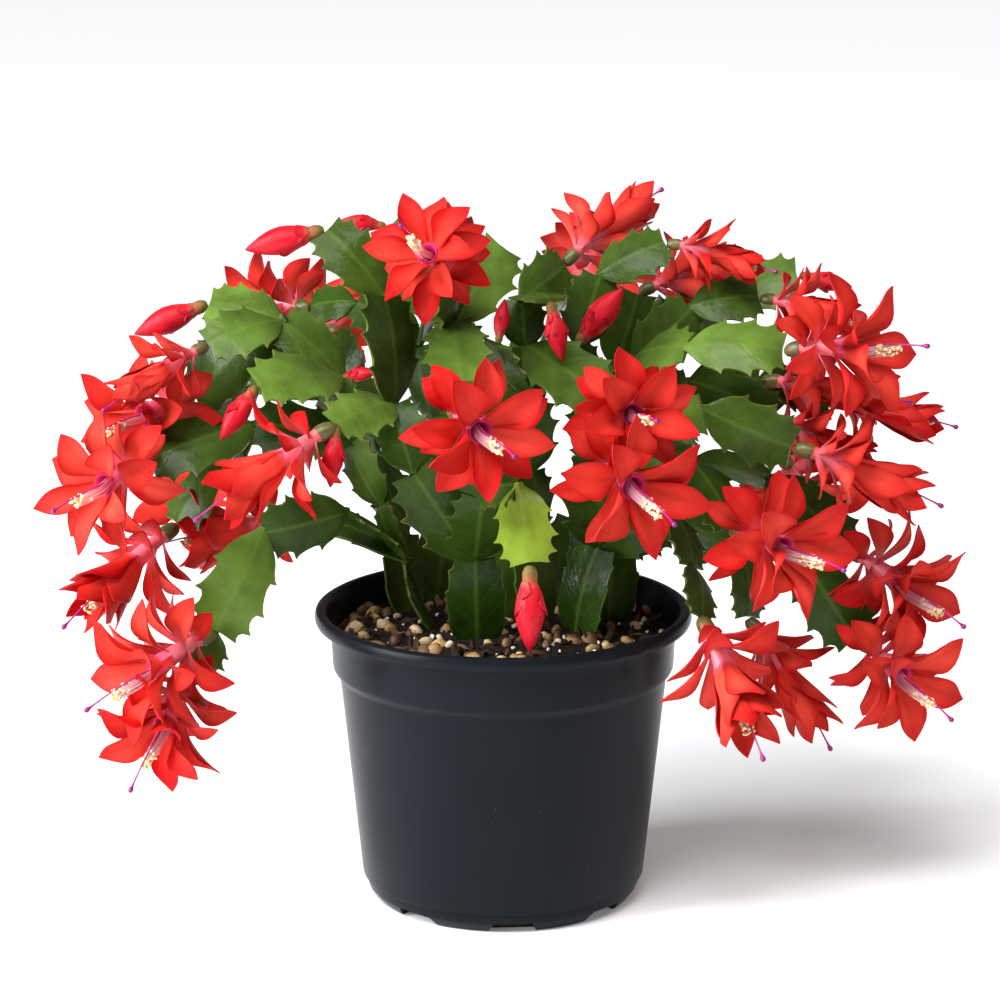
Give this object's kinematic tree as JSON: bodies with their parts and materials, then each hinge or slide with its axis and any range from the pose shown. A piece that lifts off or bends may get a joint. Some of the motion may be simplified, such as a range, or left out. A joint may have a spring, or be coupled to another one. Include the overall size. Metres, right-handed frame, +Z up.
{
  "type": "potted christmas cactus",
  "caption": "Christmas cactus in full bloom in a black nursery pot: arching stems of flat toothed segments with red blooms and buds at their tips, free-standing",
  "frame": {"origin": "middle of the pot's flat underside, on the surface the pot stands on", "axes": "+Z up along the pot axis, -Y towards the front of the plant as it was pictured, +X to the right as seen from the front"},
  "size_m": [0.3705, 0.2773, 0.2936],
  "materials": {
    "pot_plastic": "satin",
    "potting_mix": "matte",
    "leafy_segment": "satin",
    "petal": "satin",
    "bud": "satin"
  },
  "bodies": {
    "root": {"pot": "pot_plastic", "potting_mix": "potting_mix", "stem_front": "leafy_segment", "stem_left": "leafy_segment", "stem_middle": "leafy_segment", "stem_crown": "leafy_segment", "stem_right": "leafy_segment", "stem_far_right": "leafy_segment", "stem_right_back": "leafy_segment", "stem_back_left": "leafy_segment", "stem_back": "leafy_segment", "stem_back_right": "leafy_segment", "stem_top_back": "leafy_segment", "bud_01": "bud", "bud_02": "bud", "bud_03": "bud", "bud_04": "bud", "bud_05": "bud", "bud_06": "bud", "bud_07": "bud", "bud_08": "bud", "bud_09": "bud", "bud_10": "bud", "bud_11": "bud", "bud_12": "bud", "bud_13": "bud", "bud_14": "bud", "bloom_01": "petal", "bloom_02": "petal", "bloom_03": "petal", "bloom_04": "petal", "bloom_05": "petal", "bloom_06": "petal", "bloom_07": "petal", "bloom_08": "petal", "bloom_09": "petal", "bloom_10": "petal", "bloom_11": "petal", "bloom_12": "petal", "bloom_13": "petal", "bloom_14": "petal", "bloom_15": "petal", "bloom_16": "petal", "bloom_17": "petal", "bloom_18": "petal", "bloom_19": "petal", "bloom_20": "petal", "bloom_21": "petal", "bloom_22": "petal", "bloom_23": "petal", "bloom_24": "petal", "bloom_25": "petal", "bloom_26": "petal", "bloom_27": "petal", "bloom_28": "petal", "bloom_29": "petal", "bloom_30": "petal", "bloom_31": "petal", "bloom_32": "petal", "bloom_33": "petal"}
  },
  "joints": []
}
